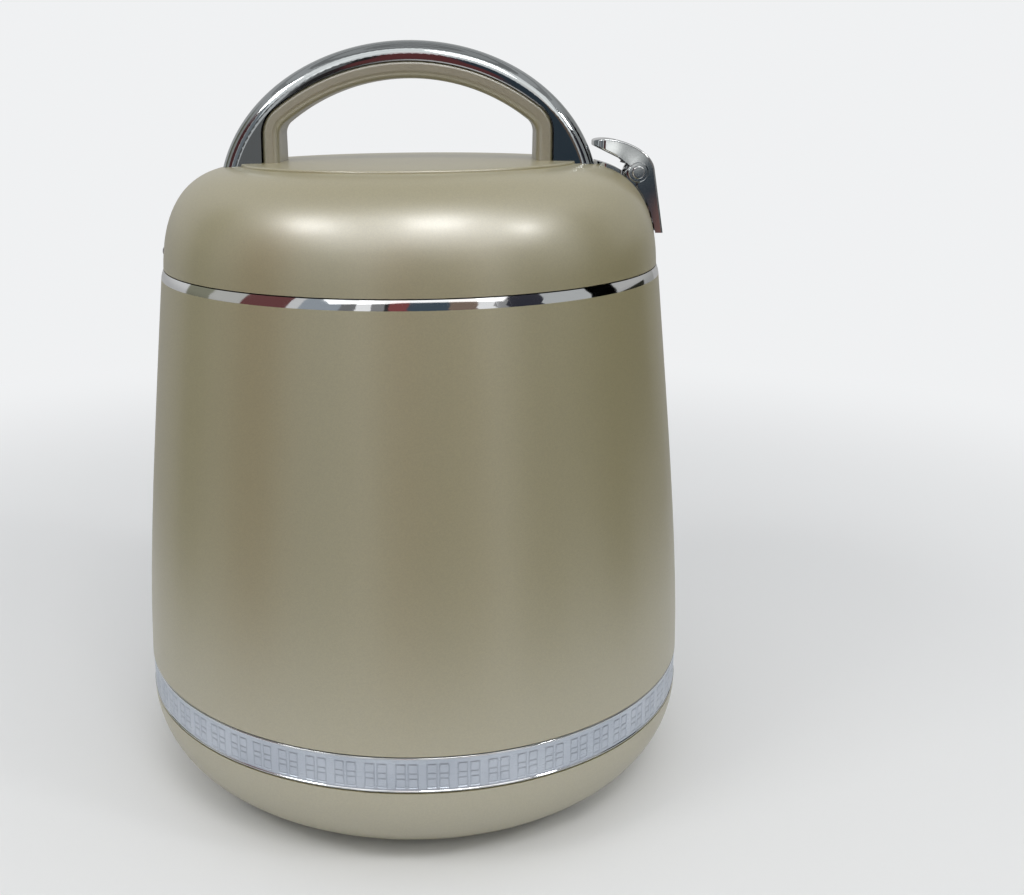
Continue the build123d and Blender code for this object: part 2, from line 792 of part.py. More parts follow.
# ---------------------------------------------------------------- lid liner and gasket
liner_bottom = seam - plug_depth
liner_flange_top = frame_top + liner_wall
with BuildPart() as lid_liner:
    with BuildSketch(Plane.XZ):
        with BuildLine():
            Polyline(
                (0, liner_bottom),
                (plug_radius, liner_bottom),
                (plug_radius, frame_top),
                (plug_radius + liner_flange_width, frame_top),
                (plug_radius + liner_flange_width, liner_flange_top),
                (plug_radius - liner_wall, liner_flange_top),
                (plug_radius - liner_wall, liner_bottom + liner_wall),
                (0, liner_bottom + liner_wall),
                close=True,
            )
        make_face()
    revolve(axis=Axis.Z)
    liner_circles = lid_liner.edges().filter_by(GeomType.CIRCLE)
    fillet(
        liner_circles.filter_by_position(Axis.Z, liner_bottom - 0.1, liner_bottom + 0.1),
        radius=plug_corner_radius,
    )
    fillet(
        liner_circles.filter_by_position(
            Axis.Z, liner_bottom + liner_wall - 0.1, liner_bottom + liner_wall + 0.1
        ),
        radius=plug_corner_radius - liner_wall,
    )
lid_liner.part.label = "lid_liner"
export_step(lid_liner.part, "parts/lid_liner.step")

gasket_bottom = pot_flange_top + gasket_gap
with BuildPart() as lid_gasket:
    add(
        tube(plug_radius + nest_gap + gasket_width, plug_radius + nest_gap, gasket_bottom, lid_bottom)
    )
    fillet(lid_gasket.edges().group_by(Axis.Z)[0], radius=(lid_bottom - gasket_bottom) / 4)
lid_gasket.part.label = "lid_gasket"
export_step(lid_gasket.part, "parts/lid_gasket.step")

# ---------------------------------------------------------------- lid insulation
lid_foam_inset = lid_wall + nest_gap
lid_foam_bottom = liner_flange_top + nest_gap
with BuildPart() as pan_fill:
    with BuildSketch(Plane.XY.offset(liner_bottom + liner_wall + nest_gap)):
        Circle(plug_radius - liner_wall - nest_gap)
    extrude(amount=lid_foam_bottom - liner_bottom)
    fillet(pan_fill.edges().group_by(Axis.Z)[0], radius=plug_corner_radius - liner_wall)

with BuildPart() as lid_foam:
    add(lid_form(lid_foam_inset))
    add(slab(lid_foam_bottom, lid_top), mode=Mode.INTERSECT)
    add(pan_fill.part)
    add(
        block(-lid_radius, pocket_x + pocket_wall + nest_gap, pocket_half + pocket_wall + nest_gap,
              lid_bottom, pocket_top + pocket_wall + nest_gap),
        mode=Mode.SUBTRACT,
    )
    add(
        block(chamber_x - chamber_wall - nest_gap, lid_radius, chamber_half + chamber_wall + nest_gap,
              lid_bottom, chamber_top + chamber_wall + nest_gap),
        mode=Mode.SUBTRACT,
    )
    add(columns(frame_screw_points, frame_boss_radius + nest_gap, lid_bottom, lid_top),
        mode=Mode.SUBTRACT)
    add(columns(leaf_screw_points, leaf_boss_radius + nest_gap, lid_bottom, leaf_boss_top + nest_gap),
        mode=Mode.SUBTRACT)
    add(
        columns(handle_screw_points, handle_boss_radius + nest_gap,
                handle_boss_bottom - handle_screw_head_height - nest_gap, lid_top),
        mode=Mode.SUBTRACT,
    )
    add(
        columns(bracket_screw_points, bracket_boss_radius + nest_gap,
                bracket_boss_bottom - bracket_screw_head_height - nest_gap, lid_top),
        mode=Mode.SUBTRACT,
    )
lid_foam.part.label = "lid_foam"
export_step(lid_foam.part, "parts/lid_foam.step")

# ---------------------------------------------------------------- hinge, body half
knuckle_side = hinge_leaf_half + hinge_side_gap
knuckle_length = hinge_half_length - knuckle_side
hinge_web_x = hinge_plate_x + 0.375 * hinge_plate_width
with BuildPart() as hinge_bracket:
    add(
        block(
            hinge_plate_x,
            -keeper_post_radius,
            hinge_plate_half,
            collar_top - hinge_plate_thickness,
            collar_top,
        )
    )
    for knuckle_start in (knuckle_side, -hinge_half_length):
        with BuildSketch(Plane.XZ.offset(-knuckle_start)):
            with Locations((hinge_x, hinge_z)):
                Circle(hinge_knuckle_radius)
            with Locations((hinge_web_x, collar_top + hinge_plate_thickness / 4)):
                Rectangle(hinge_plate_width / 2, hinge_plate_thickness / 2)
            make_hull()
        extrude(amount=-knuckle_length)
    with BuildSketch(Plane.XZ.offset(hinge_half_length + 1)):
        with Locations((hinge_x, hinge_z)):
            Circle(hinge_pin_radius + press_gap)
    extrude(amount=-2 * (hinge_half_length + 1), mode=Mode.SUBTRACT)
    add(
        columns(hinge_screw_points, hinge_screw_radius + press_gap, collar_bottom, seam),
        mode=Mode.SUBTRACT,
    )
    add(
        columns(
            hinge_screw_points,
            hinge_screw_head_radius + press_gap,
            collar_top - hinge_screw_head_height,
            seam,
        ),
        mode=Mode.SUBTRACT,
    )
hinge_bracket.part.label = "hinge_bracket"
export_step(hinge_bracket.part, "parts/hinge_bracket.step")

with BuildPart() as hinge_bracket_screws:
    add(
        screws_down(
            hinge_screw_points,
            collar_top,
            hinge_screw_head_radius,
            hinge_screw_head_height,
            hinge_screw_radius,
            hinge_screw_length,
        )
    )
hinge_bracket_screws.part.label = "hinge_bracket_screws"
export_step(hinge_bracket_screws.part, "parts/hinge_bracket_screws.step")

with BuildPart() as hinge_pin:
    with BuildSketch(Plane.XZ.offset(hinge_half_length)):
        with Locations((hinge_x, hinge_z)):
            Circle(hinge_pin_radius)
    extrude(amount=-2 * hinge_half_length)
    chamfer(hinge_pin.edges().filter_by(GeomType.CIRCLE), length=hinge_pin_radius / 5)
hinge_pin.part.label = "hinge_pin"
export_step(hinge_pin.part, "parts/hinge_pin.step")

# ---------------------------------------------------------------- hinge, lid half
leaf_bottom = pocket_top - leaf_thickness
with BuildPart() as hinge_leaf:
    add(block(leaf_plate_outer, leaf_plate_inner, leaf_half_width, leaf_bottom, pocket_top))
    with BuildSketch(Plane.XZ.offset(hinge_leaf_half)):
        with Locations((hinge_x, hinge_z)):
            Circle(hinge_knuckle_radius)
        with Locations((leaf_plate_outer + leaf_web / 2, pocket_top - leaf_thickness / 2)):
            Rectangle(leaf_web, leaf_thickness)
        make_hull()
    extrude(amount=-2 * hinge_leaf_half)
    with BuildSketch(Plane.XZ.offset(hinge_half_length)):
        with Locations((hinge_x, hinge_z)):
            Circle(hinge_pin_radius + running_gap)
    extrude(amount=-2 * hinge_half_length, mode=Mode.SUBTRACT)
    add(
        columns(leaf_screw_points, hinge_screw_radius + press_gap, leaf_bottom, pocket_top),
        mode=Mode.SUBTRACT,
    )
    add(
        columns(
            leaf_screw_points,
            hinge_screw_head_radius + press_gap,
            leaf_bottom,
            leaf_bottom + hinge_screw_head_height,
        ),
        mode=Mode.SUBTRACT,
    )
hinge_leaf.part.label = "hinge_leaf"
export_step(hinge_leaf.part, "parts/hinge_leaf.step")

with BuildPart() as hinge_leaf_screws:
    add(
        screws_up(
            leaf_screw_points,
            leaf_bottom,
            hinge_screw_head_radius,
            hinge_screw_head_height,
            hinge_screw_radius,
            hinge_screw_length,
        )
    )
hinge_leaf_screws.part.label = "hinge_leaf_screws"
export_step(hinge_leaf_screws.part, "parts/hinge_leaf_screws.step")


# ---------------------------------------------------------------- carrying handle
def finger_opening(growth):
    """The opening under the arch, grown outwards, as a solid along Y."""
    crest = opening_crest_radius + growth
    floor = handle_boss_bottom
    crest_center = opening_crest - opening_crest_radius
    with BuildPart() as opening:
        with BuildSketch(Plane.XZ.offset(2 * handle_foot_half_width)):
            with Locations((0, crest_center)):
                Circle(crest)
            with Locations((0, (floor + crest_center + crest) / 2)):
                Rectangle(
                    2 * (grip_half_span + growth),
                    crest_center + crest - floor,
                    mode=Mode.INTERSECT,
                )
        extrude(amount=-4 * handle_foot_half_width)
        shoulders = opening.edges().filter_by(Axis.Y).group_by(Axis.Z)[-1]
        fillet(shoulders, radius=opening_corner_radius + growth)
    return opening.part


def tapered_sides(inset):
    """The arch's sides seen along X: wide at the feet, slim at the crown."""
    foot = handle_foot_half_width - inset
    slim = handle_half_width - inset
    slope = (foot - slim) / (arch_crown - arch_foot_line)
    drop = arch_foot_line - handle_boss_bottom
    rise = arch_crown + handle_edge_round - arch_foot_line
    with BuildPart() as sides:
        with BuildSketch(Plane.YZ.offset(-lid_radius)):
            Polygon(
                (foot + slope * drop, handle_boss_bottom),
                (foot - slope * rise, arch_foot_line + rise),
                (slope * rise - foot, arch_foot_line + rise),
                (-foot - slope * drop, handle_boss_bottom),
                align=None,
            )
        extrude(amount=2 * lid_radius)
    return sides.part


arch_reach = 2 * handle_foot_half_width
with BuildPart() as handle_arch:
    with BuildSketch(Plane.XZ.offset(arch_reach)):
        with Locations((0, arch_center)):
            Ellipse(handle_half_span, handle_height)
        with Locations((0, handle_boss_bottom - handle_height)):
            Rectangle(3 * handle_half_span, 2 * handle_height, mode=Mode.SUBTRACT)
    extrude(amount=-2 * arch_reach)
    add(tapered_sides(0), mode=Mode.INTERSECT)
    arch_edges = handle_arch.edges().filter_by(
        lambda edge: abs(edge.center().Y) > handle_half_width / 2
        and edge.center().Z > handle_boss_bottom + 0.1
    )
    fillet(arch_edges, radius=handle_edge_round)
    add(finger_opening(grip_thickness + parting_gap), mode=Mode.SUBTRACT)
    add(lid_outside, mode=Mode.SUBTRACT)
    add(plateau.part, mode=Mode.SUBTRACT)
    add(
        columns(
            handle_screw_points,
            handle_screw_radius + press_gap,
            lid_bottom,
            plateau_top + handle_screw_bite,
        ),
        mode=Mode.SUBTRACT,
    )
handle_arch.part.label = "handle_arch"
export_step(handle_arch.part, "parts/handle_arch.step")

with BuildPart() as handle_grip:
    add(finger_opening(grip_thickness))
    add(tapered_sides(grip_inset), mode=Mode.INTERSECT)
    add(finger_opening(0), mode=Mode.SUBTRACT)
    side_edges = handle_grip.edges().filter_by(
        lambda edge: abs(edge.center().Y) > handle_half_width / 2
        and edge.center().Z > handle_boss_bottom + 0.1
    )
    finger_edges = side_edges.filter_by(
        lambda edge: abs(edge.center().X) < grip_half_span + grip_thickness / 2
        and edge.center().Z < opening_crest + grip_thickness / 2
    )
    rim_edges = side_edges.filter_by(
        lambda edge: abs(edge.center().X) > grip_half_span + grip_thickness / 2
        or edge.center().Z > opening_crest + grip_thickness / 2
    )
    fillet(finger_edges, radius=grip_round)
    fillet(rim_edges, radius=grip_rim_round)
    add(lid_outside, mode=Mode.SUBTRACT)
    add(plateau.part, mode=Mode.SUBTRACT)
handle_grip.part.label = "handle_grip"
export_step(handle_grip.part, "parts/handle_grip.step")

with BuildPart() as handle_screws:
    add(
        screws_up(
            handle_screw_points,
            handle_boss_bottom - handle_screw_head_height,
            handle_screw_head_radius,
            handle_screw_head_height,
            handle_screw_radius,
            plateau_top + handle_screw_bite - handle_boss_bottom + handle_screw_head_height,
        )
    )
handle_screws.part.label = "handle_screws"
export_step(handle_screws.part, "parts/handle_screws.step")

# ---------------------------------------------------------------- catch on the body
keeper_nose_x = keeper_outer + keeper_lip_reach
with BuildPart() as catch_keeper:
    add(
        block(
            keeper_post_radius,
            keeper_plate_x,
            keeper_plate_half,
            collar_top - keeper_plate_thickness,
            collar_top,
        )
    )
    add(
        block(
            keeper_post_radius,
            keeper_outer,
            keeper_half_width,
            collar_top - keeper_plate_thickness,
            keeper_top,
        )
    )
    with BuildSketch(Plane.XZ.offset(keeper_half_width)):
        Polygon(
            (keeper_post_radius, keeper_lip_bottom),
            (keeper_nose_x, keeper_lip_bottom),
            (keeper_nose_x, keeper_top - keeper_lip_chamfer),
            (keeper_nose_x - keeper_lip_chamfer, keeper_top),
            (keeper_post_radius, keeper_top),
            align=None,
        )
    extrude(amount=-2 * keeper_half_width)
    add(
        columns(keeper_screw_points, keeper_screw_radius + press_gap, collar_bottom, seam),
        mode=Mode.SUBTRACT,
    )
    add(
        columns(
            keeper_screw_points,
            keeper_screw_head_radius + press_gap,
            collar_top - keeper_screw_head_height,
            seam,
        ),
        mode=Mode.SUBTRACT,
    )
catch_keeper.part.label = "catch_keeper"
export_step(catch_keeper.part, "parts/catch_keeper.step")

with BuildPart() as keeper_screws:
    add(
        screws_down(
            keeper_screw_points,
            collar_top,
            keeper_screw_head_radius,
            keeper_screw_head_height,
            keeper_screw_radius,
            keeper_screw_length,
        )
    )
keeper_screws.part.label = "keeper_screws"
export_step(keeper_screws.part, "parts/keeper_screws.step")

# ---------------------------------------------------------------- latch bracket on the lid
tongue_inner_radius = latch_axis_radius - tongue_inner_reach
tongue_outer_radius = latch_axis_radius - tongue_outer_reach
bracket_foot_radius = latch_axis_radius + bracket_foot_out
with BuildPart() as bracket_region:
    with BuildSketch(Plane.XY.offset(lid_bottom)):
        with Locations(((tongue_inner_radius + tongue_outer_radius) / 2, 0)):
            RectangleRounded(
                tongue_outer_radius - tongue_inner_radius, 2 * tongue_half_width, tongue_corner
            )
        with Locations(((tongue_outer_radius - tongue_corner + bracket_foot_radius) / 2, 0)):
            Rectangle(bracket_foot_radius - tongue_outer_radius + tongue_corner, 2 * ear_outer)
    extrude(amount=2 * lid_height)

ear_base_width = ear_base_in + bracket_foot_out
ear_base_x = bracket_foot_radius - ear_base_width / 2
ear_base_z = latch_z - ear_base_drop - ear_base_depth / 2
bracket_posts = columns(
    bracket_screw_points, bracket_post_radius, bracket_boss_bottom + nest_gap, lid_top
)
with BuildPart() as latch_bracket:
    add(lid_form(-bracket_thickness))
    add(bracket_region.part, mode=Mode.INTERSECT)
    add(lid_outside, mode=Mode.SUBTRACT)

with BuildPart() as bracket_ears:
    for ear_start in (ear_inner, -ear_outer):
        with BuildSketch(Plane.XZ.offset(-ear_start)):
            with Locations((latch_axis_radius, latch_z)):
                Circle(ear_radius)
            with Locations((ear_base_x, ear_base_z)):
                Rectangle(ear_base_width, ear_base_depth)
            make_hull()
        extrude(amount=-ear_thickness)
    add(lid_outside, mode=Mode.SUBTRACT)

with BuildPart() as hidden_posts:
    add(bracket_posts)
    add(lid_form(-bracket_thickness / 2), mode=Mode.INTERSECT)

with latch_bracket:
    add(bracket_ears.part)
    add(hidden_posts.part)
    with BuildSketch(Plane.XZ.offset(lever_half_width)):
        with Locations((latch_axis_radius, latch_z)):
            Circle(latch_pin_radius + press_gap)
    extrude(amount=-2 * lever_half_width, mode=Mode.SUBTRACT)
    add(
        columns(
            bracket_screw_points,
            bracket_screw_radius + press_gap,
            bracket_boss_bottom,
            bracket_boss_bottom + bracket_screw_bite,
        ),
        mode=Mode.SUBTRACT,
    )
latch_bracket.part.label = "latch_bracket"
export_step(latch_bracket.part, "parts/latch_bracket.step")

with BuildPart() as latch_bracket_screws:
    add(
        screws_up(
            bracket_screw_points,
            bracket_boss_bottom - bracket_screw_head_height,
            bracket_screw_head_radius,
            bracket_screw_head_height,
            bracket_screw_radius,
            bracket_screw_head_height + bracket_screw_bite,
        )
    )
latch_bracket_screws.part.label = "latch_bracket_screws"
export_step(latch_bracket_screws.part, "parts/latch_bracket_screws.step")

# ---------------------------------------------------------------- latch pin and spring
knuckle_face = lever_half_width + lever_knuckle_rise
pin_head_start = knuckle_face + latch_pin_head_gap
pin_end = pin_head_start + latch_pin_head_height
with BuildPart() as latch_pin:
    with BuildSketch(Plane.XZ.offset(pin_end)):
        with Locations((latch_axis_radius, latch_z)):
            Circle(latch_pin_radius)
    extrude(amount=-2 * pin_end)
    for head_start in (pin_head_start, -pin_end):
        with BuildSketch(Plane.XZ.offset(-head_start)):
            with Locations((latch_axis_radius, latch_z)):
                Circle(latch_pin_head_radius)
        extrude(amount=-latch_pin_head_height)
    pin_rims = latch_pin.edges().filter_by(GeomType.CIRCLE)
    fillet([pin_rims.sort_by(Axis.Y)[0], pin_rims.sort_by(Axis.Y)[-1]], radius=latch_pin_head_height / 2)
latch_pin.part.label = "latch_pin"
export_step(latch_pin.part, "parts/latch_pin.step")

spring_length = spring_turns * spring_pitch
spring_frame = Plane(
    origin=(latch_axis_radius, -spring_length / 2, latch_z),
    x_dir=(math.sin(math.radians(spring_lean)), 0, math.cos(math.radians(spring_lean))),
    z_dir=(0, 1, 0),
)
with BuildPart() as spring_wire:
    with BuildLine() as spring_line:
        coil = Helix(pitch=spring_pitch, height=spring_length, radius=spring_coil_radius)
        Line(coil @ 0 - (coil % 0) * spring_leg_up, coil @ 0)
        Line(coil @ 1, coil @ 1 + (coil % 1) * spring_leg_down)
    spring_path = spring_line.wires()[0]
    with BuildSketch(Plane(origin=spring_path @ 0, z_dir=spring_path % 0)):
        Circle(spring_wire_radius)
    sweep(path=spring_path)

with BuildPart() as latch_spring:
    add(spring_frame.from_local_coords(spring_wire.part))
latch_spring.part.label = "latch_spring"
export_step(latch_spring.part, "parts/latch_spring.step")


# ---------------------------------------------------------------- latch lever
def lever_form(shift, half):
    """The lever's side view behind its outer line, moved towards the lid by shift, along Y."""
    pin_x = latch_axis_radius - shift
    pin_z = latch_z - shift
    tip = (pin_x - tab_reach, pin_z + tab_tip_rise)
    bend = (pin_x + lever_bend_out, pin_z + lever_bend_rise)
    with BuildPart() as form:
        with BuildSketch(Plane.XZ.offset(half)):
            with BuildLine():
                Bezier(
                    tip,
                    (pin_x - lever_crown_in, pin_z + lever_crown_rise),
                    (pin_x + lever_brow_out, pin_z + lever_brow_rise),
                    bend,
                )
                Polyline(
                    bend,
                    (lever_end_radius - shift, lever_end_z - shift),
                    (latch_axis_radius, lever_end_z - shift),
                    (latch_axis_radius, latch_z),
                    (tab_root_radius, tab_root_z),
                    (tip[0], tip[1] - tab_thickness),
                    tip,
                )
            make_face()
        extrude(amount=-2 * half)
    return form.part


cheek_inside = lever_half_width - lever_cheek
with BuildPart() as latch_lever:
    add(lever_form(0, lever_half_width))
    tip_corners = latch_lever.edges().filter_by(Axis.Z).group_by(Axis.X)[0]
    fillet(tip_corners, radius=tab_corner)
    lever_rims = latch_lever.edges().filter_by(
        lambda edge: edge.center().Z > tab_root_z + tab_thickness
        or edge.center().X > latch_axis_radius + lever_bend_out
    ).filter_by(Axis.Y, reverse=True)
    fillet(lever_rims, radius=lever_edge_round)

with BuildPart() as lever_hollow:
    add(lever_form(lever_skin, cheek_inside))
    add(
        block(tab_root_radius, lever_end_radius, cheek_inside, seam, 2 * latch_z),
        mode=Mode.INTERSECT,
    )
    add(
        block(tab_root_radius, latch_axis_radius + lever_skin, cheek_inside, seam,
              latch_z + lever_knuckle_radius)
    )

with BuildPart() as lever_rings:
    with BuildSketch(Plane.XZ.offset(knuckle_face)):
        with Locations((latch_axis_radius, latch_z)):
            Circle(lever_knuckle_radius)
    extrude(amount=-2 * knuckle_face)
    chamfer(lever_rings.edges().filter_by(GeomType.CIRCLE), length=lever_knuckle_rise / 2)

with latch_lever:
    add(lever_rings.part)
    add(lever_hollow.part, mode=Mode.SUBTRACT)
    add(lid_form(-lever_lid_gap), mode=Mode.SUBTRACT)

with BuildPart() as latch_nose:
    with BuildSketch(Plane.XZ.offset(nose_half_width)):
        Polygon(
            (nose_tip_radius, nose_top),
            (nose_tip_radius, nose_bottom + nose_height / 2),
            (nose_tip_radius + nose_height / 2, nose_bottom),
            (lever_end_radius - lever_skin / 2, nose_bottom),
            (lever_end_radius - lever_skin / 2, nose_top),
            align=None,
        )
    extrude(amount=-2 * nose_half_width)

with latch_lever:
    add(latch_nose.part)
    with BuildSketch(Plane.XZ.offset(2 * lever_half_width)):
        with Locations((latch_axis_radius, latch_z)):
            Circle(latch_pin_radius + running_gap)
    extrude(amount=-4 * lever_half_width, mode=Mode.SUBTRACT)
latch_lever.part.label = "latch_lever"
export_step(latch_lever.part, "parts/latch_lever.step")

# ---------------------------------------------------------------- joints
hinge_place = (hinge_x, 0, hinge_z)
latch_place = (latch_axis_radius, 0, latch_z)
RevoluteJoint(
    "lid_hinge",
    to_part=hinge_bracket.part,
    axis=Axis(hinge_place, (0, -1, 0)),
    angular_range=(0, lid_open_angle),
)
RigidJoint("lid_hinge", to_part=hinge_leaf.part, joint_location=Location(hinge_place))
RevoluteJoint(
    "latch_press",
    to_part=latch_bracket.part,
    axis=Axis(latch_place, (0, -1, 0)),
    angular_range=(0, latch_angle),
)
RigidJoint("latch_press", to_part=latch_lever.part, joint_location=Location(latch_place))
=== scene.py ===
import math

import bmesh
import bpy
from mathutils import Matrix, Vector


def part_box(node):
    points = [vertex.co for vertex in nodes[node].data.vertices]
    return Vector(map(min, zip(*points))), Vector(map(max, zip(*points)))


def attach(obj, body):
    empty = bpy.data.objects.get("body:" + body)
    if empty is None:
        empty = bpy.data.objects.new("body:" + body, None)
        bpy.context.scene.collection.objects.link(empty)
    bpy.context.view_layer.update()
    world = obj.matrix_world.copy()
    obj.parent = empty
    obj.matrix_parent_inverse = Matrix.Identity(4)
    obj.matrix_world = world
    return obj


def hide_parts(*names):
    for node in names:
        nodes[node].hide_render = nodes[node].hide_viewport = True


# The looks of an insulated casserole: finishes for the CAD pieces, the fretted band, camera, studio and lamps.
# Metres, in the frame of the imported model: origin in the middle of the foot, +Z up, +X towards the latch.
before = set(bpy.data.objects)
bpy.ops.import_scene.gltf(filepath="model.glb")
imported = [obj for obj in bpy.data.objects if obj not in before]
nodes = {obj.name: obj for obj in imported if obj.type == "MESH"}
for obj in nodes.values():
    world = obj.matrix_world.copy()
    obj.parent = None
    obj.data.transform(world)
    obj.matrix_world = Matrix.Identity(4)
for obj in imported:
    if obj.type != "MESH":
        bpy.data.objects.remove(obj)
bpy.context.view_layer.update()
MM = 0.001


# ---------------------------------------------------------------- node helpers
class NodeTree:
    """The node tree of a material or world, with short ways to add nodes and to link them."""

    def __init__(self, owner):
        owner.use_nodes = True
        self.nodes = owner.node_tree.nodes
        self.links = owner.node_tree.links

    def add(self, kind, **values):
        node = self.nodes.new(kind)
        for key, value in values.items():
            setattr(node, key, value)
        return node

    def give(self, socket, value):
        """Sets a socket to a number or a colour, or links a node's output to it."""
        if isinstance(value, tuple):
            socket.default_value = (*value, 1)
        elif isinstance(value, (int, float)):
            socket.default_value = value
        else:
            self.links.new(value, socket)

    def math(self, operation, first, second=None):
        node = self.add("ShaderNodeMath", operation=operation)
        self.give(node.inputs[0], first)
        if second is not None:
            self.give(node.inputs[1], second)
        return node.outputs["Value"]

    def axes(self, coords):
        """The x, y and z of coordinates."""
        split = self.add("ShaderNodeSeparateXYZ")
        self.give(split.inputs[0], coords)
        return split.outputs

    def from_axis(self, x, y):
        """The distance from the casserole's axis."""
        return self.math("SQRT", self.math("ADD", self.math("MULTIPLY", x, x), self.math("MULTIPLY", y, y)))

    def remap(self, value, span, low=0.0, high=1.0, smooth=False):
        """Goes from low to high while value goes through span."""
        node = self.add("ShaderNodeMapRange", interpolation_type="SMOOTHSTEP" if smooth else "LINEAR")
        for key, number in zip(("From Min", "From Max", "To Min", "To Max"), (*span, low, high)):
            node.inputs[key].default_value = number
        self.give(node.inputs["Value"], value)
        return node.outputs["Result"]

    def blend(self, factor, first, second):
        """A colour between first and second."""
        node = self.add("ShaderNodeMix", data_type="RGBA")
        self.give(node.inputs["Factor"], factor)
        for name, value in (("A", first), ("B", second)):
            self.give(next(s for s in node.inputs if s.name == name and s.type == "RGBA"), value)
        return next(s for s in node.outputs if s.type == "RGBA")

    def steps(self, value, tones):
        """A colour that changes in steps; tones says where each one starts, the first at 0, and its colour."""
        node = self.add("ShaderNodeValToRGB")
        self.give(node.inputs["Fac"], value)
        node.color_ramp.interpolation = "CONSTANT"
        stops = node.color_ramp.elements
        stops.remove(stops[-1])
        for start, colour in tones:
            stop = stops[0] if start == 0 else stops.new(start)
            stop.color = (*colour, 1)
        return node.outputs["Color"]

    def seen_rays(self):
        """1 for the rays that show a thing itself: camera, mirror and glass."""
        path = self.add("ShaderNodeLightPath").outputs
        seen = self.math("MAXIMUM", path["Is Camera Ray"], path["Is Glossy Ray"])
        return self.math("MAXIMUM", seen, path["Is Transmission Ray"])

    def emission(self, colour):
        """A shader that shows a colour whatever the light."""
        node = self.add("ShaderNodeEmission")
        self.give(node.inputs["Color"], colour)
        return node.outputs["Emission"]

    def mix(self, factor, first, second):
        """A shader between first and second."""
        node = self.add("ShaderNodeMixShader")
        for socket, value in zip(node.inputs, (factor, first, second)):
            self.give(socket, value)
        return node.outputs["Shader"]

    def surface(self, shader, kind="ShaderNodeOutputMaterial"):
        self.give(self.add(kind).inputs["Surface"], shader)


def emptied(owner):
    """The node tree of a new material or world, without the nodes that it comes with."""
    tree = NodeTree(owner)
    tree.nodes.clear()
    return tree


class Finish(NodeTree):
    """A material of a piece: nodes around one Principled shader."""

    def __init__(self, name):
        self.material = bpy.data.materials.new(name)
        super().__init__(self.material)
        self.shader = self.nodes["Principled BSDF"]
        self.coords = self.add("ShaderNodeTexCoord").outputs["Object"]

    def set(self, **values):
        """Numbers on the shader's own sockets."""
        for key, value in values.items():
            self.shader.inputs[key.replace("_", " ")].default_value = value

    def scaled(self, scale, source=None):
        """Coordinates stretched by scale, a triple."""
        node = self.add("ShaderNodeMapping")
        node.inputs["Scale"].default_value = scale
        self.give(node.inputs["Vector"], source or self.coords)
        return node.outputs["Vector"]

    def polar(self):
        """Coordinates around the casserole's axis: radius, turn, height."""
        x, y, z = self.axes(self.coords)
        join = self.add("ShaderNodeCombineXYZ")
        for socket, value in zip(join.inputs, (self.from_axis(x, y), self.math("ARCTAN2", y, x), z)):
            self.give(socket, value)
        return join.outputs["Vector"]

    def noise(self, scale, detail, rough=0.5, source=None):
        """Noise with scale waves to the metre."""
        node = self.add("ShaderNodeTexNoise")
        for key, number in (("Scale", scale), ("Detail", detail), ("Roughness", rough)):
            node.inputs[key].default_value = number
        self.give(node.inputs["Vector"], source or self.coords)
        return node.outputs["Fac"]

    def cells(self, scale):
        """Cells, scale of them to the metre."""
        node = self.add("ShaderNodeTexVoronoi")
        node.inputs["Scale"].default_value = scale
        self.give(node.inputs["Vector"], self.coords)
        return node.outputs

    def colour(self, value):
        self.give(self.shader.inputs["Base Color"], value)

    def rough(self, value):
        self.give(self.shader.inputs["Roughness"], value)

    def bump(self, height, distance, strength, after=None):
        """Relief on the surface, on top of the relief after where there is one."""
        node = self.add("ShaderNodeBump")
        node.inputs["Strength"].default_value = strength
        node.inputs["Distance"].default_value = distance
        self.give(node.inputs["Height"], height)
        if after is not None:
            self.give(node.inputs["Normal"], after)
        self.give(self.shader.inputs["Normal"], node.outputs["Normal"])
        return node.outputs["Normal"]


# ---------------------------------------------------------------- finishes
# where most of a noise's values lie, and the middle of them
NOISE_SPAN = (0.3, 0.7)
NOISE_CORE = (0.35, 0.65)


def champagne_paint(name, shade=1.0):
    """Pearl lacquer: a warm grey gold base under a broad neutral sheen and a clear coat."""
    f = Finish(name)
    f.set(IOR=3.4, Coat_Weight=0.35, Coat_Roughness=0.20, Coat_IOR=1.5)
    # shade below 1 darkens every base colour of a copy of this paint: painted shade
    dark, light, cloudy = [
        tuple(shade * channel for channel in tone)
        for tone in ((0.280, 0.240, 0.104), (0.340, 0.295, 0.134), (0.30, 0.30, 0.20))
    ]
    flakes = f.add("ShaderNodeSeparateColor")
    f.give(flakes.inputs[0], f.cells(3200)["Color"])
    drift = f.remap(f.noise(14, 3), NOISE_CORE, 0.0, 0.06)
    f.colour(f.blend(drift, f.blend(flakes.outputs["Red"], dark, light), cloudy))
    f.rough(f.remap(f.noise(900, 2), NOISE_SPAN, 0.365, 0.415))
    waves = f.bump(f.noise(420, 2), 0.03 * MM, 0.35)
    f.bump(flakes.outputs["Green"], 0.02 * MM, 0.20, after=waves)
    return f.material


def chrome(name, tint):
    """Bright plating with faint handling marks."""
    f = Finish(name)
    f.set(Metallic=1.0)
    smudge = f.noise(55, 5, 0.6)
    wipe = f.noise(30, 4, 0.6, f.scaled((1, 6, 1)))
    f.colour(f.blend(f.remap(smudge, NOISE_SPAN), tuple(0.95 * channel for channel in tint), tint))
    f.rough(f.remap(f.math("ADD", smudge, wipe), (0.7, 1.3), 0.035, 0.085))
    f.bump(f.noise(160, 2), 0.02 * MM, 0.10)
    return f.material


def satin_band(name, low, high, roughness):
    """Satin silver with a fine grain around the axis."""
    f = Finish(name)
    f.set(Metallic=0.8)
    grain = f.noise(1.0, 3, 0.6, f.scaled((300, 6, 9000), f.polar()))
    f.colour(f.blend(f.remap(f.noise(40, 3), NOISE_CORE), low, high))
    f.rough(f.remap(grain, NOISE_SPAN, *roughness))
    f.bump(grain, 0.02 * MM, 0.25)
    return f.material


